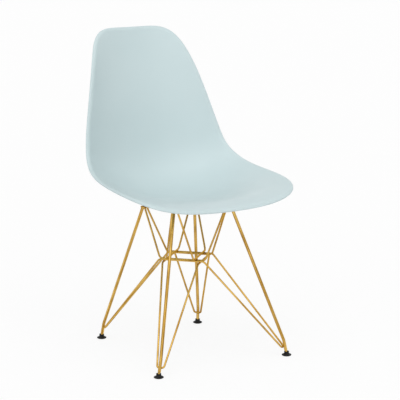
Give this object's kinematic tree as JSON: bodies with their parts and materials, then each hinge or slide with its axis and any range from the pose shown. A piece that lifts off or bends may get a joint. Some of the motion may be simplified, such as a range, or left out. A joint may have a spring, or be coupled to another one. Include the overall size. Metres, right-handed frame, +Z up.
{
  "type": "moulded plastic shell chair",
  "caption": "Armless side chair: a moulded plastic bucket shell with a rolled rim, carried on a welded base of bent round steel rod and wire with tilting glides.",
  "frame": {"origin": "on the floor, under the middle of the chair's bounding box", "axes": "+Z up, -Y the way the sitter faces, +X the sitter's left"},
  "size_m": [0.4822, 0.5162, 0.8175],
  "materials": {
    "shell_plastic": "satin pale aqua, fine moulded grain",
    "gold_steel": "satin brass-plated steel rod and wire",
    "glide_plastic": "moulded black",
    "pad_rubber": "matt black",
    "zinc_steel": "zinc plated",
    "insert_brass": "machined"
  },
  "bodies": {
    "chair": {"flat_washers": "zinc_steel", "leg_rod_front_left": "gold_steel", "leg_rod_front_right": "gold_steel", "leg_rod_rear_left": "gold_steel", "leg_rod_rear_right": "gold_steel", "lock_washers": "zinc_steel", "lower_loop_left": "gold_steel", "lower_loop_right": "gold_steel", "mounting_bolts": "zinc_steel", "mounting_pad_front_left": "pad_rubber", "mounting_pad_front_right": "pad_rubber", "mounting_pad_rear_left": "pad_rubber", "mounting_pad_rear_right": "pad_rubber", "mounting_plate_front_left": "gold_steel", "mounting_plate_front_right": "gold_steel", "mounting_plate_rear_left": "gold_steel", "mounting_plate_rear_right": "gold_steel", "seat_shell": "shell_plastic", "threaded_inserts": "insert_brass", "upper_wire_left_front": "gold_steel", "upper_wire_left_rear": "gold_steel", "upper_wire_right_left": "gold_steel", "upper_wire_right_right": "gold_steel"},
    "glide_front_right": {"glide_front_right": "glide_plastic"},
    "glide_front_left": {"glide_front_left": "glide_plastic"},
    "glide_rear_right": {"glide_rear_right": "glide_plastic"},
    "glide_rear_left": {"glide_rear_left": "glide_plastic"}
  },
  "joints": [
    {"name": "glide_front_right_tilt", "type": "hinge", "parent": "chair", "child": "glide_front_right", "pos_m": [-0.189, -0.23222, 0.006], "axis": [-0.3387, 0.9409, 0], "range_deg": [-8, 28]},
    {"name": "glide_front_left_tilt", "type": "hinge", "parent": "chair", "child": "glide_front_left", "pos_m": [0.189, -0.23222, 0.006], "axis": [-0.3387, -0.9409, 0], "range_deg": [-8, 28]},
    {"name": "glide_rear_right_tilt", "type": "hinge", "parent": "chair", "child": "glide_rear_right", "pos_m": [-0.1488, 0.15218, 0.006], "axis": [0.932, 0.3624, 0], "range_deg": [-8, 28]},
    {"name": "glide_rear_left_tilt", "type": "hinge", "parent": "chair", "child": "glide_rear_left", "pos_m": [0.1488, 0.15218, 0.006], "axis": [0.932, -0.3624, 0], "range_deg": [-8, 28]}
  ]
}
